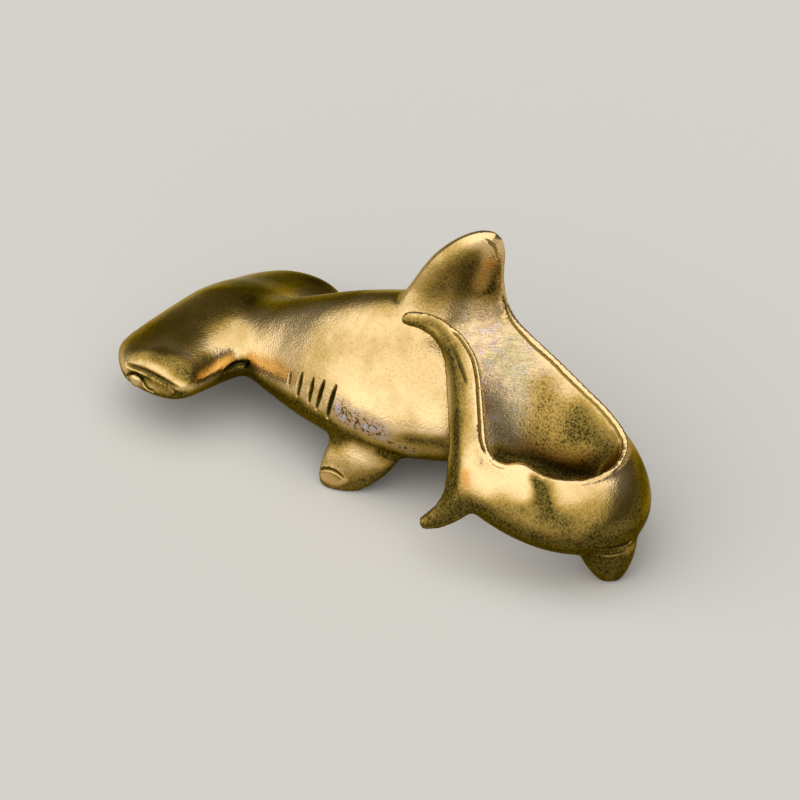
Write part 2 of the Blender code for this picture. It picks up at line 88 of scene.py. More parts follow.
# The rim, from under the tip of the dorsal fin to the tip of the tail fin's upper lobe.
RIM = (
    (10.85, -2.43, 24.79), (11.05, -2.53, 21.98), (11.12, -2.52, 18.66), (11.63, -2.90, 16.95),
    (13.90, -5.02, 15.06), (15.99, -6.82, 13.95), (18.24, -9.03, 12.76), (20.44, -11.42, 11.76),
    (21.95, -14.35, 10.85), (21.03, -17.30, 10.21), (18.11, -18.94, 9.83), (14.51, -18.22, 9.62),
    (12.05, -16.93, 10.19), (9.56, -15.43, 10.82), (9.30, -13.89, 13.31), (8.96, -12.23, 15.90),
    (7.89, -10.31, 18.44), (4.88, -8.10, 20.02), (2.35, -7.27, 19.66),
)
RIM_SIDE = 0.50  # from the middle of the rim to the grooves along its edges
TAIL_BEAD = (
    (6.40, -9.55, 19.60), (6.90, -9.85, 19.35), (7.27, -10.10, 19.14),
    (7.88, -10.75, 18.51), (8.33, -11.34, 17.85), (8.59, -11.90, 17.05), (8.77, -12.52, 16.08),
    (8.86, -13.19, 15.03), (8.95, -13.89, 13.90), (9.04, -14.58, 12.75), (9.13, -15.29, 11.62),
    (9.58, -16.03, 10.62), (10.46, -16.73, 9.82), (11.30, -17.30, 9.80),
)

# A line worked into the skin: its points, how far beside them it runs, how wide and deep it is
# (a negative depth raises it), how high the metal stands along its edges, how dark the film in it
# is, whether it tapers over its whole length or only at its ends, and how much higher its far
# edge stands than its near one.
Line = namedtuple("Line", "points beside wide deep lip film taper tilt", defaults=(0.0,))
SLIT = (0.56, 0.36, 0.03, 1.0, True)  # how wide, deep, lipped and dark a gill slit is, and that it tapers
LINES = (
    # The band of the rim and the grooves along it
    Line(RIM[:12], 0.0, 0.90, -0.05, 0.0, 0.0, False, 0.14),
    Line(RIM[2:11], RIM_SIDE, 0.26, 0.12, 0.0, 0.75, False),
    Line(RIM[2:11], -RIM_SIDE, 0.30, 0.08, 0.0, 0.2, False),
    # The bead along the tail fin's rear edge and the groove beside it
    Line(TAIL_BEAD[:12], 0.0, 0.28, 0.16, 0.03, 0.8, False),
    Line(TAIL_BEAD, -0.36, 0.56, -0.12, 0.0, 0.0, False),
    # Gill slits of the left side, then of the right
    Line(((-8.10, -1.05, 8.7), (-8.20, -1.32, 8.0), (-8.29, -1.51, 7.4)), 0, 0.42, 0.22, 0.02, 0.9, True),
    Line(((-6.98, -2.05, 9.4), (-7.29, -2.47, 8.2), (-7.49, -2.80, 7.0)), 0, *SLIT),
    Line(((-5.93, -3.16, 9.6), (-6.14, -3.44, 8.9), (-6.35, -3.77, 7.9), (-6.44, -3.95, 7.1)), 0, *SLIT),
    Line(((-4.92, -4.04, 10.0), (-5.24, -4.32, 9.2), (-5.59, -4.60, 7.9), (-5.74, -4.71, 7.0)), 0, *SLIT),
    Line(((-3.80, -4.99, 10.2), (-4.06, -5.22, 9.6), (-4.40, -5.49, 8.6), (-4.72, -5.72, 6.8)), 0, *SLIT),
    Line(((-0.92, 8.28, 8.7), (-0.72, 8.48, 8.0), (-0.57, 8.61, 7.4)), 0, 0.42, 0.22, 0.02, 0.9, True),
    Line(((0.01, 7.78, 9.4), (0.25, 8.21, 8.2), (0.49, 8.50, 7.0)), 0, *SLIT),
    Line(((1.00, 7.47, 9.6), (1.17, 7.77, 8.9), (1.38, 8.10, 7.9), (1.51, 8.26, 7.1)), 0, *SLIT),
    Line(((1.94, 7.09, 10.0), (2.06, 7.48, 9.2), (2.20, 7.90, 7.9), (2.27, 8.07, 7.0)), 0, *SLIT),
    Line(((2.82, 6.82, 10.2), (2.91, 7.14, 9.6), (3.02, 7.53, 8.6), (3.16, 7.89, 6.8)), 0, *SLIT),
    # Left eye: the ball, the arc of the lid over it and the short slit behind it
    Line(((-22.66, 2.48, 5.22), (-22.50, 2.36, 5.24)), 0, 1.50, -0.30, 0.0, 0.0, False),
    Line(
        ((-23.42, 3.08, 4.90), (-23.20, 2.92, 5.50), (-22.62, 2.48, 5.92), (-22.00, 2.00, 5.72),
         (-21.70, 1.76, 5.10), (-21.30, 1.42, 4.84), (-20.75, 1.00, 4.88)),
        0, 0.42, 0.30, 0.0, 1.0, True,
    ),
    # Left end of the head: the crease from the brow to the rear, and the fine ridge under it
    Line(
        ((-23.60, 3.60, 6.20), (-23.01, 2.99, 6.34), (-22.04, 2.22, 6.51), (-21.27, 1.62, 6.55),
         (-20.50, 1.02, 6.53), (-19.83, 0.49, 6.52), (-19.07, -0.11, 6.46), (-18.40, -0.64, 6.39)),
        0, 0.64, 0.18, 0.05, 0.9, True,
    ),
    Line(((-20.90, 1.28, 6.12), (-20.10, 0.60, 6.08), (-19.08, -0.20, 5.95)), 0, 0.40, -0.09, 0, 0, True),
    # Right eye and right end of the head
    Line(((-7.78, 21.50, 1.64), (-7.62, 21.38, 1.66)), 0, 1.50, -0.30, 0.0, 0.0, False),
    Line(
        ((-8.54, 22.09, 1.32), (-8.32, 21.94, 1.92), (-7.74, 21.50, 2.34), (-7.13, 21.04, 2.14),
         (-6.83, 20.78, 1.52), (-6.42, 20.42, 1.26), (-5.87, 20.01, 1.30)),
        0, 0.42, 0.30, 0.0, 1.0, True,
    ),
    Line(
        ((-8.72, 22.60, 2.62), (-8.13, 21.99, 2.76), (-7.16, 21.22, 2.93), (-6.39, 20.62, 2.97),
         (-5.62, 20.02, 2.95), (-4.95, 19.49, 2.94), (-4.19, 18.89, 2.88)),
        0, 0.64, 0.18, 0.05, 0.9, True,
    ),
    # The fold where the head's rear edge meets the neck
    Line(
        ((-14.50, 2.45, 5.90), (-13.80, 3.10, 6.00), (-13.10, 3.50, 6.08), (-12.45, 3.52, 6.22),
         (-11.96, 3.17, 6.55)),
        0, 0.80, 0.36, 0.06, 1.0, True,
    ),
    # The hollow under the second dorsal fin
    Line(((14.4, -19.4, 9.3), (14.8, -20.4, 8.7), (15.1, -21.3, 8.0)), 0, 2.2, 0.26, 0.0, 0.0, True),
    # The lip round the tip of the left pectoral fin
    Line(
        ((-5.50, -6.40, 1.40), (-5.00, -6.80, 1.90), (-4.20, -7.30, 2.15), (-3.50, -7.70, 1.90),
         (-3.10, -7.95, 1.50)),
        0, 0.36, 0.14, 0.04, 0.9, True,
    ),
    # Tail fin: the fold across the upper lobe
    Line(
        ((6.20, -10.20, 19.00), (6.56, -10.60, 18.60), (6.91, -11.00, 18.20), (7.26, -11.60, 17.50),
         (7.62, -12.20, 16.70), (7.97, -12.85, 15.80)),
        0, 0.48, 0.15, 0.02, 0.9, True,
    ),
    # Two tool marks at the root of the pelvic fin
    Line(
        ((18.72, -22.41, 5.52), (19.64, -21.99, 4.72), (21.09, -21.33, 4.42), (22.55, -20.29, 4.38)),
        0, 0.44, 0.20, 0.04, 1.0, True,
    ),
    Line(
        ((19.23, -21.65, 3.88), (20.57, -21.47, 3.62), (22.11, -20.80, 3.65)),
        0, 0.30, 0.12, 0.03, 0.9, True,
    ),
    # The fold beside the tip of the dorsal fin
    Line(((9.50, -2.90, 24.80), (10.17, -2.95, 24.25), (10.55, -3.00, 23.45), (10.60, -3.05, 22.6)),
         0, 0.34, 0.12, 0.05, 0.6, True),
)

# Where the wax was rounded off by thumb: the points of each stroke.
SOFTENED = (
    ((-22.9, 4.2, 7.2), (-21.5, 2.7, 7.6), (-20.4, 1.7, 7.7), (-19.4, 0.8, 7.6), (-18.4, 0.0, 7.3)),
    ((-18.9, -0.3, 7.0), (-18.2, -0.6, 6.5), (-17.8, -0.7, 5.9)),
    ((-9.2, 22.6, 3.4), (-7.6, 22.0, 3.8), (-5.6, 20.6, 3.9), (-4.0, 19.0, 3.6)),
)
SOFT_WIDE = 1.9  # how far to either side a stroke reaches
SOFT_ROUNDS = 28  # rounds of smoothing

# Painted shade, laid on as strokes of a soft brush: how dark, how wide, and through which points. It
# darkens the fins, back, flank, hook, stalk, tail and belly where they lie in shade or mirror the dark
# room; on top of the head it is partly the dark film.
Stroke = namedtuple("Stroke", "film wide points")
SHADE_AND_FILM_STROKES = (
    Stroke(0.52, 3.4, ((4.7, -2.8, 18.6), (6.0, -2.9, 20.9), (7.0, -2.9, 22.6))),  # dorsal fin
    Stroke(0.30, 3.0, ((8.8, -2.9, 22.0), (9.0, -3.2, 21.0), (9.8, -3.2, 18.6))),
    Stroke(0.48, 2.6, ((1.5, -0.4, 16.7), (-2.6, 1.8, 15.1), (-7.3, 5.7, 12.1), (-11.1, 8.6, 9.4))),  # back
    Stroke(0.55, 3.6, ((-2.0, 4.0, 14.4), (-7.0, 8.0, 11.6), (-11.0, 11.0, 9.0))),
    Stroke(0.56, 5.0, ((-21.8, 6.4, 7.4), (-18.4, 8.0, 8.1), (-14.9, 10.2, 8.7), (-9.8, 17.0, 6.5))),  # head
    Stroke(0.78, 4.0, ((-12.3, 14.4, 7.7), (-9.6, 18.6, 5.5), (-6.7, 18.7, 5.2), (-5.3, 17.5, 5.1))),
    Stroke(0.50, 2.4, ((-17.6, 4.8, 8.2), (-15.9, 6.9, 8.5), (-13.4, 9.4, 8.9))),
    Stroke(0.75, 1.8, ((-20.3, 2.6, 8.0), (-19.4, 1.7, 8.1), (-18.4, 0.6, 7.8), (-17.9, 0.0, 7.4))),
    Stroke(0.75, 1.5, ((-17.3, 0.2, 7.1), (-16.6, 1.2, 7.3), (-16.0, 2.3, 7.5))),
    Stroke(0.40, 2.2, ((-17.2, 2.8, 8.0), (-16.8, 2.0, 7.8), (-17.6, 1.0, 7.8))),
    Stroke(0.50, 1.3, ((-22.9, 4.2, 7.3), (-22.0, 3.2, 7.5), (-21.2, 2.6, 7.7), (-20.4, 1.9, 7.8))),
    Stroke(  # flank
        0.20, 5.4,
        ((-5.3, -2.5, 11.1), (-0.8, -3.9, 13.9), (2.9, -5.9, 13.6), (4.5, -6.9, 12.6)),
    ),
    Stroke(
        0.92, 0.9,
        ((-21.9, 2.2, 6.8), (-21.2, 1.6, 6.5), (-20.2, 0.8, 6.3), (-19.3, 0.0, 6.2), (-18.5, -0.6, 6.1)),
    ),
    Stroke(0.95, 1.1, ((-14.2, 2.8, 5.8), (-13.4, 3.4, 5.8), (-12.7, 3.6, 6.1))),  # notch of the neck
    Stroke(0.80, 3.2, ((18.6, -12.3, 10.4), (20.2, -13.6, 9.8), (18.8, -13.8, 8.2))),  # hook
    Stroke(0.60, 2.8, ((17.4, -10.8, 11.4), (16.4, -12.2, 9.2), (14.6, -12.2, 7.9))),
    Stroke(0.50, 2.4, ((14.9, -8.6, 12.6), (14.9, -9.7, 11.6), (14.4, -10.9, 9.8))),
    Stroke(0.95, 1.3, ((10.9, -10.8, 6.9), (13.6, -12.0, 6.9), (16.3, -13.2, 6.8), (19.0, -14.1, 7.6))),
    Stroke(0.85, 0.8, ((13.6, -18.4, 9.8), (14.2, -19.1, 9.4), (14.6, -20.0, 8.9))),  # stalk
    Stroke(0.85, 1.7, ((14.4, -19.5, 9.4), (14.6, -20.2, 8.8), (15.1, -21.3, 8.0), (16.6, -22.0, 7.4))),
    Stroke(0.90, 3.6, ((10.8, -19.9, 5.8), (13.4, -21.4, 5.3), (16.1, -22.4, 5.5), (18.7, -22.4, 6.1))),
    Stroke(0.90, 3.2, ((20.9, -21.7, 5.5), (22.9, -20.0, 6.8), (23.6, -17.6, 7.9), (23.6, -15.2, 8.8))),
    Stroke(0.50, 2.6, ((11.6, -19.6, 7.8), (13.6, -20.6, 8.0), (17.0, -21.3, 8.0), (20.8, -20.6, 8.2))),
    Stroke(0.70, 3.0, ((18.6, -22.0, 3.0), (20.6, -21.6, 2.4), (21.4, -20.8, 1.0))),  # pelvic fin
    Stroke(0.90, 1.0, ((2.6, -7.9, 19.4), (4.4, -8.6, 19.7), (5.4, -9.2, 19.5), (6.0, -9.9, 19.0))),  # tail
    Stroke(
        0.97, 1.6,
        ((6.29, -10.75, 18.29), (6.65, -11.52, 17.21), (6.91, -12.36, 16.18), (7.00, -13.29, 14.67),
         (7.01, -14.17, 13.11), (6.92, -14.96, 11.48), (6.84, -15.84, 9.92), (6.58, -16.57, 8.23)),
    ),
    Stroke(
        0.97, 2.6,
        ((6.58, -16.57, 8.2), (6.31, -17.45, 6.66), (5.60, -17.80, 5.46), (4.63, -17.82, 4.46)),
    ),
    Stroke(0.92, 2.0, ((7.0, -18.0, 6.6), (9.5, -18.9, 6.3))),
    Stroke(0.38, 1.9, ((-4.0, -6.2, 5.6), (-3.6, -7.0, 3.8), (-4.4, -7.1, 2.6))),  # pectoral fin
    Stroke(0.35, 1.8, ((-2.6, -7.9, 2.6), (-1.0, -8.3, 2.4), (0.6, -8.3, 3.3), (1.0, -8.3, 5.0))),
    Stroke(0.88, 1.8, ((-12.0, 3.0, 5.6), (-10.9, 1.9, 4.9), (-9.1, -0.7, 5.4), (-7.2, -3.1, 5.9))),  # belly
    Stroke(0.88, 1.8, ((-7.2, -3.1, 5.9), (-5.4, -4.9, 5.6), (-4.0, -6.1, 5.1))),
    Stroke(0.80, 1.2, ((2.4, -9.2, 7.0), (4.0, -9.6, 7.2), (5.6, -9.9, 7.2))),
)
# Where the brass gets a painted sheen, painted warm glints that are partly a copper tone, or is still rough
# from the mould
SILVERY_SHEEN = (
    Stroke(0.95, 5.0, ((9.6, -3.8, 16.6), (11.0, -6.1, 14.6), (12.0, -8.2, 12.0), (11.4, -9.8, 9.6))),
    Stroke(0.85, 4.0, ((12.7, -6.9, 13.8), (13.6, -9.2, 11.6), (14.5, -11.1, 9.6))),
    Stroke(0.8, 3.6, ((13.6, -10.1, 10.5), (15.4, -9.7, 11.7), (16.6, -11.8, 9.8))),
)
# Painted warm glints, partly a copper tone of the brass, on the dorsal fin, the tail fin and the pectoral tip
COPPERY_GLINTS = (
    Stroke(0.95, 1.2, ((10.0, -3.0, 22.2), (9.5, -3.2, 21.0), (9.1, -3.2, 20.0))),
    Stroke(0.9, 0.8, ((7.7, -16.9, 9.2), (7.7, -17.3, 8.3))),
    Stroke(0.5, 0.9, ((-4.7, -7.2, 1.2), (-4.2, -7.5, 0.9))),
)
ROUGH_CAST = (
    Stroke(0.95, 1.8, ((-3.5, -6.5, 8.1), (-2.8, -7.0, 7.8), (-1.7, -7.6, 7.7), (-0.6, -8.2, 7.3))),
    Stroke(0.95, 1.7, ((-0.6, -8.2, 7.3), (0.5, -8.7, 6.8), (1.6, -9.1, 6.3), (2.9, -9.2, 5.7))),
    Stroke(0.6, 1.2, ((2.9, -9.2, 5.9), (4.1, -9.6, 6.2), (5.2, -9.8, 6.1))),
)
# Where fingers and the polishing wheel keep the brass bright
RUBBED = (
    Stroke(0.9, 0.75, RIM[:12]),
    Stroke(0.9, 0.45, tuple((x + 0.30, y - 0.04, z + 0.12) for x, y, z in TAIL_BEAD)),
    Stroke(0.95, 1.6, ((8.7, -2.7, 24.7), (9.2, -2.8, 24.7), (9.8, -2.9, 24.1), (10.2, -3.0, 23.0))),
    Stroke(0.9, 1.1, ((12.7, -17.9, 10.2), (12.9, -18.9, 9.7), (12.9, -19.6, 9.0))),
    Stroke(0.8, 1.8, ((9.6, -17.4, 9.3), (10.8, -17.8, 9.2), (12.2, -18.8, 9.0))),
    Stroke(
        0.9, 0.7,
        ((-22.1, 2.6, 7.0), (-20.7, 1.5, 7.2), (-19.9, 0.7, 7.1), (-19.2, 0.1, 6.8), (-18.4, -0.5, 6.6)),
    ),
    Stroke(
        0.8, 0.7,
        ((-18.4, -0.5, 6.6), (-17.5, -0.6, 6.4), (-16.6, 0.1, 6.4), (-15.4, 1.5, 6.2), (-14.2, 2.7, 6.4)),
    ),
    Stroke(0.95, 1.0, ((-22.66, 2.48, 5.22), (-22.50, 2.36, 5.24))),
    Stroke(0.8, 0.35, ((-20.90, 1.28, 6.05), (-20.10, 0.60, 6.00), (-19.08, -0.20, 5.90))),
    Stroke(0.6, 0.9, ((-2.2, -7.3, 5.0), (-1.5, -7.6, 4.95), (-0.7, -7.8, 4.85))),
    Stroke(0.9, 0.5, ((-5.2, -7.0, 1.0), (-4.4, -7.5, 1.0), (-3.7, -7.8, 1.0), (-3.1, -8.0, 1.5))),
    Stroke(0.9, 0.45, ((4.2, -17.2, 2.6), (4.6, -17.6, 2.3), (5.4, -17.7, 2.2))),
)
BRUSH_STEP = 0.4  # between two points of a brush stroke
BROAD_ROUNDS = 85  # rounds of averaging that tell a broad hollow from its surroundings
BROAD_DEEP = 0.30  # how far below or above its surroundings the skin counts as a whole hollow or ridge
UNDERSIDE_SHADE_FROM = 0.27  # how far up the skin faces where painted shade starts on the undersides, which face away from the light
UNDERSIDE_SHADE_TO = -0.04  # and where it is whole
UNDERSIDE_SHADE_DARK = 0.90  # how dark it is there

# What each vertex keeps for the material
# Of these marks, film holds painted shade besides the dark film, and the silver and copper tones are a
# painted sheen and painted warm glints, the glints partly a copper tone.
MARKS = ("worked", "film", "silvery_sheen", "coppery_glint", "rough_cast", "rubbed", "hollow", "proud")
# Size of the cells of its patterns
SPECKS = 0.35
BLOTS = 1.0
CLOUDS = 3.5
# The cloth's scratches, drawn a few times coarser than real ones so that they show
SCRATCH_LONG = 1.0
SCRATCH_WIDE = 1 / 12
SCRATCH_RISE = 40.0  # degrees

# The camera looks along +Y.
LOOK_AT = (1.953, 6.170, 0.0)  # on the floor
LOOK_DOWN = 37.0  # degrees
LOOK_FROM = 400.0
SENSOR = 36.0
FLOOR_WIDE = 4.0  # metres
# The soft lights: degrees to the left of the camera (negative) and up, and how many degrees round
# there they reach. The first is the large one in front, the second is overhead.
SOFT_LIGHTS = ((-40.0, 40.0, 68.0), (0.0, 90.0, 36.0))
SOFT_EDGE = 6.0  # degrees to either side of its reach over which a soft light ends


def srgb(code):
    """A hex colour as the linear one that a shader takes."""
    parts = [int(code[i:i + 2], 16) / 255 for i in (1, 3, 5)]
    return tuple(p / 12.92 if p <= 0.04045 else ((p + 0.055) / 1.055) ** 2.4 for p in parts) + (1.0,)


def colour(name, description, code):
    """A colour that a user may change."""
    return bpy.props.FloatVectorProperty(
        name=name, description=description, default=srgb(code), size=4, min=0.0, max=1.0, subtype="COLOR",
    )


class SharkCasting(bpy.types.PropertyGroup):
    """The casting's finish"""

    relief: bpy.props.FloatProperty(
        name="Relief", description="How deep the worked lines are, as a share of the real depth",
        default=1.0, min=0.0, max=2.0, subtype="FACTOR",
    )
    wear: bpy.props.FloatProperty(
        name="Wear", description="How far what stands out is rubbed bright", default=0.8, min=0.0,
        max=1.0, subtype="FACTOR",
    )
    grain: bpy.props.FloatProperty(
        name="Grain", description="Size of the grain that tumbling leaves in the brass",
        default=0.19 * MM, min=0.05 * MM, max=1.0 * MM, unit="LENGTH", subtype="DISTANCE",
    )
    brass: colour("Brass", "Bright brass", "#F5D39A")
    deep_brass: colour("Deep brass", "Brass under a thin film", "#AA8B45")
    slant: colour("Slant", "What the brass mirrors is tinted so where it is seen at a slant", "#CFC38C")
    # This dark colour, with deep brass where it is thin, also paints the shade on the undersides and the
    # shaded sides.
    film: colour("Film", "The dark film of the antiquing", "#37320F")
    # Silver with its rose, lilac and teal blots paints the sheen where the rear of the body mirrors the
    # light; rose and lilac also tint the rough cast skin.
    silver: colour("Silvery", "Brass where the film took the yellow out", "#E0CDB0")
    rose: colour("Rose", "The rosy blots of the silvery brass", "#C2A196")
    lilac: colour("Lilac", "The bluish blots where the skin is rough from the mould", "#C9C3D6")
    teal: colour("Teal", "The greenish blots of the silvery brass", "#B3B9A2")
    # Colour of the painted warm glints, which are partly a copper tone of the brass.
    copper: colour("Coppery", "Brass where the heat drew copper to the skin", "#D98E36")


class SharkStage(bpy.types.PropertyGroup):
    """The stage round the figurine"""

    floor: colour("Floor", "The floor's colour", "#D8D5CE")
    key: bpy.props.FloatProperty(
        name="Key", description="How bright the large soft light in front is", default=1.38, min=0.0, max=4.0,
    )
    rest: bpy.props.FloatProperty(
        name="Rest", description="How bright the rest of the studio is", default=0.12, min=0.0, max=4.0,
    )
    lens: bpy.props.FloatProperty(
        name="Lens", description="Focal length of the camera's lens", default=190.8, min=20.0,
        max=400.0, unit="CAMERA",
    )


def start_fresh(name):
    """Deselects everything and takes away an older piece of that name."""
    if bpy.context.mode != "OBJECT":
        bpy.ops.object.mode_set(mode="OBJECT")
    bpy.ops.object.select_all(action="DESELECT")
    old = bpy.data.objects.get(name)
    if old is not None:
        bpy.data.objects.remove(old)


def take(piece):
    """Makes a piece the only one that is selected, and the active one."""
    bpy.ops.object.select_all(action="DESELECT")
    piece.select_set(True)
    bpy.context.view_layer.objects.active = piece


def apply(piece, kind, **settings):
    """Adds a modifier to a piece and applies it."""
    take(piece)
    modifier = piece.modifiers.new(kind.lower(), kind)
    for name, value in settings.items():
        setattr(modifier, name, value)
    bpy.ops.object.modifier_apply(modifier=modifier.name)


def group(piece, name, values):
    """Keeps a weight from 0 to 1 for each vertex, for a modifier to read."""
    weights = piece.vertex_groups.new(name=name)
    for i in np.flatnonzero(values > 0.001):
        weights.add([int(i)], float(min(values[i], 1.0)), "REPLACE")


def put(mesh, name, values):
    """Keeps one number for each vertex, for the material to read."""
    attribute = mesh.attributes.new(name, "FLOAT", "POINT")
    attribute.data.foreach_set("value", values.astype(np.float32))


def points_and_ways(mesh):
    """Where each vertex is, in millimetres, and which way the skin faces there."""
    points = np.empty(len(mesh.vertices) * 3, dtype=np.float32)
    ways = np.empty(len(mesh.vertices) * 3, dtype=np.float32)
    mesh.vertices.foreach_get("co", points)
    mesh.vertices.foreach_get("normal", ways)
    return points.reshape(-1, 3) / MM, ways.reshape(-1, 3)


def blend(a, b, c, d, t):
    """A value between b and c on the smooth curve through all four."""
    return b + 0.5 * t * (c - a + t * (2 * a - 5 * b + 4 * c - d + t * (3 * (b - c) + d - a)))


def walk(points, pitch):
    """Points about a pitch apart on the smooth curve through the given ones."""
    points = [np.array(point) for point in points]
    last = len(points) - 1
    walked = []
    for k in range(last):
        near = (points[max(k - 1, 0)], points[k], points[k + 1], points[min(k + 2, last)])
        steps = max(1, round(float(np.linalg.norm(near[2] - near[1])) / pitch))
        walked += [blend(*near, i / steps) for i in range(steps)]
    return np.array(walked + [points[last]])


def let_down(piece, points):
    """The nearest places on the skin to some points, and which way it faces there."""
    spots = []
    ways = []
    for point in points:
        found, spot, way, face = piece.closest_point_on_mesh(Vector(point) * MM)
        spots.append(spot / MM)
        ways.append(way)
    return np.array(spots), np.array(ways)


def evened(values, rounds):
    """A run of vectors, each averaged with its neighbours, some rounds over."""
    for step in range(rounds):
        wide = np.concatenate((values[:1], values, values[-1:]))
        values = (wide[:-2] + 2 * wide[1:-1] + wide[2:]) / 4
    return values


def unit(vectors):
    return vectors / np.maximum(np.linalg.norm(vectors, axis=1, keepdims=True), 1e-9)


def trace(piece, line):
    """A line let down on the skin: its points, the ways out there, and how far it has faded in."""
    spots, ways = let_down(piece, walk(line.points, TRACE))
    spots = evened(spots, 4)
    ways = unit(evened(ways, 12))
    if line.beside:
        aside = unit(np.cross(np.gradient(spots, axis=0), ways))
        spots = evened(let_down(piece, spots + aside * line.beside)[0], 4)
    count = len(spots)
    along = np.linspace(0.0, 1.0, count)
    if count * TRACE < line.wide:
        fade = np.ones(count)
    elif line.taper:
        fade = np.sqrt(np.sin(np.pi * along))
    else:
        fade = np.clip(np.minimum(along, 1 - along) * count * TRACE / FADE_LONG, FADE_LEAST, 1.0)
    return spots, ways, fade


def beside(points, ways, spots, spot_ways, reach):
    """Which vertices lie beside a line, how far off along the skin and which way, and where on it."""
    low = spots.min(axis=0) - reach
    high = spots.max(axis=0) + reach
    close = np.flatnonzero(((points > low) & (points < high)).all(axis=1))
    tree = KDTree(len(spots))
    for i, spot in enumerate(spots):
        tree.insert(spot, i)
    tree.balance()
    where = np.array([tree.find(points[i])[1] for i in close], dtype=int)
    off = points[close] - spots[where]
    facing = spot_ways[where]
    off -= facing * (off * facing).sum(axis=1, keepdims=True)
    far = np.linalg.norm(off, axis=1)
    whole = np.linalg.norm(points[close] - spots[where], axis=1)
    keep = (whole < reach) & ((ways[close] * facing).sum(axis=1) > SAME_SIDE)
    return close[keep], far[keep], off[keep], where[keep]


def even_skin():
    """A copy of the frame's shark as one fine even skin, its facets rounded off."""
    skin = bpy.data.objects.new("shark_skin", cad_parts[NODE].data.copy())
    bpy.context.scene.collection.objects.link(skin)
    skin.data.materials.clear()
    take(skin)
    bpy.ops.object.mode_set(mode="EDIT")
    bpy.ops.mesh.select_all(action="SELECT")
    bpy.ops.mesh.remove_doubles(threshold=0.01 * MM)
    bpy.ops.object.mode_set(mode="OBJECT")
    apply(skin, "SUBSURF", levels=1, render_levels=1)
    apply(skin, "REMESH", mode="VOXEL", voxel_size=SKIN_CELL * MM)
    for step in range(SKIN_ROUNDS):
        apply(skin, "SMOOTH", factor=SMOOTH_IN, iterations=1)
        apply(skin, "SMOOTH", factor=SMOOTH_OUT, iterations=1)
    points, ways = points_and_ways(skin.data)
    strokes = [Stroke(1.0, SOFT_WIDE, places) for places in SOFTENED]
    group(skin, "soft", brushed(points, ways, skin, strokes))
    apply(skin, "SMOOTH", factor=SMOOTH_IN, iterations=SOFT_ROUNDS, vertex_group="soft")
    skin.vertex_groups.clear()
    return skin


def cut_finer(skin, traced):
    """Divides the cells beside the lines, so that the lines come out crisp."""
    points, ways = points_and_ways(skin.data)
    fine = np.zeros(len(points), dtype=bool)
    for line, (spots, spot_ways, fade) in zip(LINES, traced):
        if line.wide < BROAD_LINE:
            fine[beside(points, ways, spots, spot_ways, line.wide / 2 + FINE_MARGIN)[0]] = True
    take(skin)
    skin.data.polygons.foreach_set(
        "select", [all(fine[i] for i in face.vertices) for face in skin.data.polygons],
    )
    bpy.context.tool_settings.mesh_select_mode = (False, False, True)
    bpy.ops.object.mode_set(mode="EDIT")
    bpy.ops.mesh.subdivide(number_cuts=FINE_CUTS, ngon=False, quadcorner="INNERVERT")
    bpy.ops.object.mode_set(mode="OBJECT")
    chosen = np.zeros(len(skin.data.vertices), dtype=bool)
    skin.data.vertices.foreach_get("select", chosen)
    group(skin, "fine", chosen.astype(float))
    apply(skin, "SMOOTH", factor=SMOOTH_IN, iterations=FINE_ROUNDS, vertex_group="fine")


def work_lines(skin, traced, relief):
    """Cuts the lines in and raises the metal beside them, and returns the film that stays in them."""
    points, ways = points_and_ways(skin.data)
    cut = np.zeros(len(points))
    film = np.zeros(len(points))
    for line, (spots, spot_ways, fade) in zip(LINES, traced):
        near, far, off, where = beside(points, ways, spots, spot_ways, line.wide + PAST_LINE)
        size = fade[where]
        share = far / (line.wide / 2 * (0.4 + 0.6 * size))
        if line.wide < BROAD_LINE and line.deep > 0:
            dent = np.clip(1 - share, 0, 1)
        elif not line.taper:
            dent = np.clip(1 - share * share, 0, 1) ** 0.6
        else:
            dent = np.clip(1 - share * share, 0, 1) ** 2
        brink = np.exp(-(((share - LIP_AT) / LIP_WIDE) ** 2))
        aside = unit(np.cross(np.gradient(spots, axis=0), spot_ways))[where]
        lean = (off * aside).sum(axis=1) / (line.wide / 2)
        cut[near] += (line.deep * dent - line.lip * brink + line.tilt * lean * dent) * size
        dark = np.clip((FILM_TO - share) / (FILM_TO - FILM_FROM), 0, 1) * np.minimum(1, 1.5 * size)
        film[near] = np.maximum(film[near], line.film * dark)
    deepest = max(abs(line.deep) for line in LINES)
    group(skin, "in", np.clip(cut, 0, None) / deepest)
    group(skin, "out", np.clip(-cut, 0, None) / deepest)
    apply(skin, "DISPLACE", strength=-deepest * relief * MM, mid_level=0.0, vertex_group="in")
    apply(skin, "DISPLACE", strength=deepest * relief * MM, mid_level=0.0, vertex_group="out")
    skin.vertex_groups.clear()
    skin.data.shade_smooth()
    return film


def brushed(points, ways, piece, strokes):
    """What soft brush strokes leave on the vertices."""
    total = np.zeros(len(points))
    for stroke in strokes:
        spots, spot_ways = let_down(piece, walk(stroke.points, BRUSH_STEP))
        spot_ways = unit(evened(spot_ways, 3))
        near, far, off, where = beside(points, ways, spots, spot_ways, stroke.wide)
        soft = np.clip(1 - (far / stroke.wide) ** 2, 0, 1) ** 2
        total[near] = 1 - (1 - total[near]) * (1 - stroke.film * soft)
    return total


def spread(values, here, there, rounds):
    """Averages values over the skin, each with its neighbours', some rounds over."""
    count = len(values)
    number = np.bincount(here, minlength=count)
    for step in range(rounds):
        near = [np.bincount(here, values[there, k], count) / number for k in range(values.shape[1])]
        values = 0.5 * values + 0.5 * np.stack(near, axis=1)
    return values


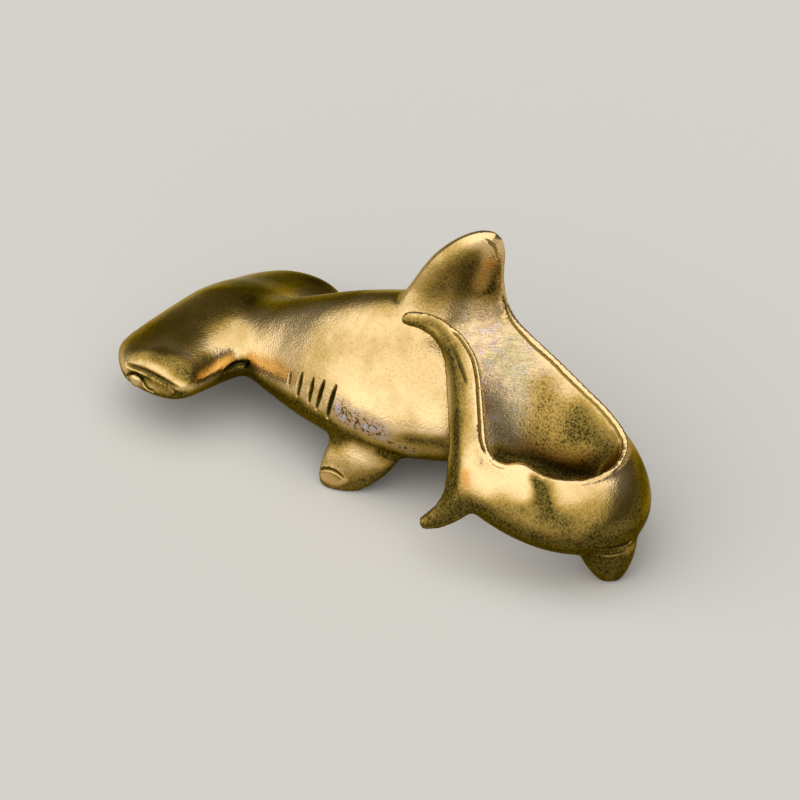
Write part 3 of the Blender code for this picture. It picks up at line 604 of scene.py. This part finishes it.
def mark_wear(skin):
    """Marks the broad hollows, where the film stays, and what stands out, where it is rubbed off."""
    ends = np.empty(len(skin.data.edges) * 2, dtype=np.int32)
    skin.data.edges.foreach_get("vertices", ends)
    here = np.concatenate((ends[0::2], ends[1::2]))
    there = np.concatenate((ends[1::2], ends[0::2]))
    points, ways = points_and_ways(skin.data)
    broad = ((spread(points, here, there, BROAD_ROUNDS) - points) * ways).sum(axis=1)
    put(skin.data, "hollow", np.clip(broad / BROAD_DEEP, 0, 1))
    put(skin.data, "proud", np.clip(-broad / BROAD_DEEP, 0, 1))


def mark_finish(skin, worked):
    """Marks where the dark film and the painted shade lie, and where the brass has another tone, a painted
    sheen and painted glints among them.
    """
    points, ways = points_and_ways(skin.data)
    put(skin.data, "worked", worked)
    # Painted shade: the skin that faces down, away from the light, gets the dark film colour, and so does
    # what the brush strokes of painted shade cover.
    low = np.clip((UNDERSIDE_SHADE_FROM - ways[:, 2]) / (UNDERSIDE_SHADE_FROM - UNDERSIDE_SHADE_TO), 0, 1)
    low = UNDERSIDE_SHADE_DARK * low * low * (3 - 2 * low)
    put(skin.data, "film", 1 - (1 - low) * (1 - brushed(points, ways, skin, SHADE_AND_FILM_STROKES)))
    tones = {"silvery_sheen": SILVERY_SHEEN, "coppery_glint": COPPERY_GLINTS, "rough_cast": ROUGH_CAST, "rubbed": RUBBED}
    for name, strokes in tones.items():
        put(skin.data, name, brushed(points, ways, skin, strokes))


def add(tree, kind, inputs=(), out=0, **settings):
    """Adds a node with its settings, and gives one of its outputs.

    Its inputs come in their order or by name, each with its value or the output that feeds it.
    """
    node = tree.nodes.new("ShaderNode" + kind)
    for name, value in settings.items():
        setattr(node, name, value)
    for name, value in inputs.items() if isinstance(inputs, dict) else enumerate(inputs):
        if isinstance(value, bpy.types.NodeSocket):
            tree.links.new(value, node.inputs[name])
        else:
            node.inputs[name].default_value = value
    return node.outputs[out]


def patterns(tree, look):
    """The grain, specks, blots, clouds and scratches, as numbers round a half."""
    where = add(tree, "TexCoord", out="Object")
    # A noise texture's cells are one unit across at scale 1, so the scale is one over the size.
    found = [
        add(tree, "TexNoise", {"Vector": where, "Scale": 1 / size, "Detail": detail}, "Fac")
        for size, detail in ((look.grain, 2.0), (SPECKS * MM, 3.0), (BLOTS * MM, 4.0), (CLOUDS * MM, 4.0))
    ]
    # The scratches rise to the tail.
    turned = {
        "Vector": where, "Rotation": (0.0, math.radians(SCRATCH_RISE), 0.0),
        "Scale": (1 / (SCRATCH_LONG * MM), 1 / (SCRATCH_WIDE * MM), 1 / (SCRATCH_WIDE * MM)),
    }
    slanted = add(tree, "Mapping", turned)
    scratches = add(tree, "TexNoise", {"Vector": slanted, "Scale": 1.0, "Detail": 2.0}, "Fac")
    return (*found, scratches)


def antique_brass(look):
    """Yellow brass, cast, tumbled and darkened with liver of sulphur, then rubbed with a cloth.

    The metal is a pale warm yellow under a thin olive brown film that stays in the hollows and in
    the grain that tumbling leaves, and the rubbed places mirror softly. The film's colours also
    paint shade on the undersides and on the sides that lie in shade, and the brass gets a painted
    silver-grey sheen and painted warm glints.
    """
    material = bpy.data.materials.new("antiqued cast brass")
    material.use_nodes = True
    tree = material.node_tree
    surface = tree.nodes["Principled BSDF"]
    grain, specks, blots, clouds, scratches = patterns(tree, look)
    worked, film, silvery_sheen, coppery_glint, rough_cast, rubbed, hollow, proud = (
        add(tree, "Attribute", out="Fac", attribute_name=name) for name in MARKS
    )
    # A painted silver-grey sheen where the rear of the body mirrors the light, in blots, some rosy, some
    # greenish or bluish.
    blotted = add(tree, "MapRange", (blots, 0.35, 0.60, 0.6, 1.0))
    silvery_sheen = add(tree, "Math", (silvery_sheen, blotted), operation="MULTIPLY")
    tones = look.silver
    for tone, pattern, low, high, share in (
        (look.rose, blots, 0.42, 0.56, 0.9),
        (look.lilac, blots, 0.56, 0.62, 0.7),
        (look.teal, clouds, 0.48, 0.56, 0.8),
        (look.brass, scratches, 0.50, 0.62, 0.7),
        (look.deep_brass, scratches, 0.48, 0.38, 0.5),
    ):
        there = add(tree, "MapRange", (pattern, low, high, 0.0, share))
        tones = add(tree, "Mix", {0: there, 6: tones, 7: tone}, 2, data_type="RGBA")

    body = look.brass
    mottled = add(tree, "MapRange", (clouds, 0.45, 0.65, 0.0, 0.35))
    rosy = add(tree, "Math", (rough_cast, 0.9), operation="MULTIPLY")
    bluish = add(tree, "MapRange", (blots, 0.48, 0.60, 0.0, 0.9))
    bluish = add(tree, "Math", (rough_cast, bluish), operation="MULTIPLY")
    # Among the tones mixed in here, the sheen is painted, and so are the warm glints, which are partly a
    # copper tone.
    for share, tone in (
        (mottled, look.deep_brass), (silvery_sheen, tones), (rosy, look.rose), (bluish, look.lilac),
        (rubbed, look.brass), (coppery_glint, look.copper),
    ):
        body = add(tree, "Mix", {0: share, 6: body, 7: tone}, 2, data_type="RGBA")

    # The film stays in the hollows and in clouds, and comes off where a cloth or a wheel rubs. The film mark
    # it starts from is mostly painted shade, on the undersides and on the sides that lie in shade.
    film = add(tree, "Math", (hollow, 0.30, film), operation="MULTIPLY_ADD")
    cloudy = add(tree, "MapRange", (clouds, 0.46, 0.64, 0.0, 0.12))
    film = add(tree, "Math", (film, cloudy), operation="ADD")
    worn = add(tree, "Math", (proud, look.wear), operation="MULTIPLY")
    film = add(tree, "Math", (worn, -0.18, film), operation="MULTIPLY_ADD", use_clamp=True)
    for bare, share in ((rubbed, 0.85), (rough_cast, 0.7), (coppery_glint, 0.7)):
        left = add(tree, "Math", (bare, -share, 1.0), operation="MULTIPLY_ADD")
        film = add(tree, "Math", (film, left), operation="MULTIPLY")
    film = add(tree, "Math", (film, 0.90), operation="MINIMUM")
    # It breaks up over the grain: it stays in the pits and is rubbed off the tops.
    for pattern, pit, top in ((grain, 1.09, 0.93), (specks, 1.04, 0.95)):
        broken = add(tree, "MapRange", (pattern, 0.36, 0.64, pit, top))
        film = add(tree, "Math", (film, broken), operation="MULTIPLY")
    pits = add(tree, "MapRange", (grain, 0.30, 0.50, 0.10, 0.0))
    film = add(tree, "Math", (film, pits), operation="ADD")
    pits = add(tree, "MapRange", (grain, 0.34, 0.54, 0.24, 0.0))
    film = add(tree, "Math", (silvery_sheen, pits, film), operation="MULTIPLY_ADD", use_clamp=True)
    # Where the skin is rough from the mould, and in the worked lines, nothing gets it out.
    both = add(tree, "Math", (grain, specks), operation="ADD")
    pits = add(tree, "MapRange", (both, 1.00, 1.14, 0.05, 1.0))
    pits = add(tree, "Math", (rough_cast, pits), operation="MULTIPLY")
    for kept in (pits, worked):
        film = add(tree, "Math", (film, kept), operation="MAXIMUM")
    # A thin film lets the brass through deeper and yellower, a thick one hides it. The painted shade takes
    # the same two colours.
    thin = add(tree, "Math", (film, 2.0), operation="MULTIPLY", use_clamp=True)
    thick = add(tree, "Math", (film, 2.0, -1.0), operation="MULTIPLY_ADD", use_clamp=True)
    for share, tone in ((thin, look.deep_brass), (thick, look.film)):
        body = add(tree, "Mix", {0: share, 6: body, 7: tone}, 2, data_type="RGBA")
    tree.links.new(body, surface.inputs["Base Color"])

    surface.inputs["Metallic"].default_value = 1.0
    surface.inputs["Specular Tint"].default_value = look.slant
    rough = add(tree, "MapRange", (grain, 0.3, 0.7, 0.24, 0.17))
    for share, more in ((film, 0.12), (silvery_sheen, 0.14), (rubbed, -0.05)):
        rough = add(tree, "Math", (share, more, rough), operation="MULTIPLY_ADD")
    tree.links.new(rough, surface.inputs["Roughness"])

    # How high the patterns stand, in millimetres
    scratched = add(tree, "Math", (scratches, silvery_sheen), operation="MULTIPLY")
    pitted = add(tree, "Math", (specks, rough_cast), operation="MULTIPLY")
    height = add(tree, "Math", (grain, 0.026), operation="MULTIPLY")
    for pattern, deep in ((scratched, 0.030), (pitted, -0.05), (clouds, 0.08)):
        height = add(tree, "Math", (pattern, deep, height), operation="MULTIPLY_ADD")
    bump = add(tree, "Bump", {"Height": height, "Strength": 1.0, "Distance": MM})
    tree.links.new(bump, surface.inputs["Normal"])
    return material


class SHARK_OT_casting(bpy.types.Operator):
    """Make the shark's casting"""

    bl_idname = "shark.casting"
    bl_label = "Casting"

    def execute(self, context):
        look = context.scene.shark_casting
        start_fresh("shark_skin")
        skin = even_skin()
        traced = [trace(skin, line) for line in LINES]
        cut_finer(skin, traced)
        worked = work_lines(skin, traced, look.relief)
        mark_wear(skin)
        mark_finish(skin, worked)
        skin.data.materials.append(antique_brass(look))
        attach(skin, BODY)
        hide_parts(NODE)
        return {"FINISHED"}


def light_studio(world, stage):
    """A large soft light in front to the left, a smaller one overhead, and a dimmer room round them."""
    world.use_nodes = True
    tree = world.node_tree
    way = add(tree, "TexCoord", out="Generated")
    lights = []
    for side, height, reach in SOFT_LIGHTS:
        side = math.radians(side)
        height = math.radians(height)
        middle = (math.sin(side) * math.cos(height), -math.cos(side) * math.cos(height), math.sin(height))
        near = add(tree, "VectorMath", (way, middle), "Value", operation="DOT_PRODUCT")
        outer = math.cos(math.radians(reach + SOFT_EDGE))
        inner = math.cos(math.radians(reach - SOFT_EDGE))
        ends = (near, outer, inner, stage.rest, stage.key)
        lights.append(add(tree, "MapRange", ends, interpolation_type="SMOOTHSTEP"))
    brightest = add(tree, "Math", lights, operation="MAXIMUM")
    background = tree.nodes["Background"]
    background.inputs["Color"].default_value = (1.0, 1.0, 1.0, 1.0)
    tree.links.new(brightest, background.inputs["Strength"])


class SHARK_OT_stage(bpy.types.Operator):
    """Make the floor, the light and the camera"""

    bl_idname = "shark.stage"
    bl_label = "Stage"

    def execute(self, context):
        stage = context.scene.shark_stage
        start_fresh("floor")
        bpy.ops.mesh.primitive_plane_add(size=FLOOR_WIDE, location=(0.0, 0.0, 0.0))
        floor = context.object
        floor.name = "floor"
        material = bpy.data.materials.new("pale floor")
        material.use_nodes = True
        surface = material.node_tree.nodes["Principled BSDF"]
        surface.inputs["Base Color"].default_value = stage.floor
        surface.inputs["Roughness"].default_value = 0.9
        floor.data.materials.append(material)
        world = context.scene.world or bpy.data.worlds.new("studio")
        context.scene.world = world
        light_studio(world, stage)
        camera = bpy.data.objects.new("camera", bpy.data.cameras.new("camera"))
        context.scene.collection.objects.link(camera)
        down = math.radians(LOOK_DOWN)
        back = Vector((0.0, -math.cos(down), math.sin(down)))
        camera.location = (Vector(LOOK_AT) + back * LOOK_FROM) * MM
        camera.rotation_euler = (math.pi / 2 - down, 0.0, 0.0)
        camera.data.lens = stage.lens
        camera.data.sensor_width = SENSOR
        context.scene.camera = camera
        context.scene.view_settings.view_transform = "Standard"
        return {"FINISHED"}


class SHARK_PT_panel(bpy.types.Panel):
    """The shark's pieces"""

    bl_idname = "SHARK_PT_panel"
    bl_label = "Shark"
    bl_space_type = "VIEW_3D"
    bl_region_type = "UI"
    bl_category = "Shark"

    def draw(self, context):
        for kind, values in (("casting", context.scene.shark_casting), ("stage", context.scene.shark_stage)):
            for name in values.__annotations__:
                self.layout.prop(values, name)
            self.layout.operator("shark." + kind)


CLASSES = (SharkCasting, SharkStage, SHARK_OT_casting, SHARK_OT_stage, SHARK_PT_panel)


def register():
    for item in CLASSES:
        bpy.utils.register_class(item)
    bpy.types.Scene.shark_casting = bpy.props.PointerProperty(type=SharkCasting)
    bpy.types.Scene.shark_stage = bpy.props.PointerProperty(type=SharkStage)


def unregister():
    del bpy.types.Scene.shark_stage
    del bpy.types.Scene.shark_casting
    for item in reversed(CLASSES):
        bpy.utils.unregister_class(item)


def main():
    register()
    bpy.ops.shark.casting()
    bpy.ops.shark.stage()


if __name__ == "__main__":
    main()
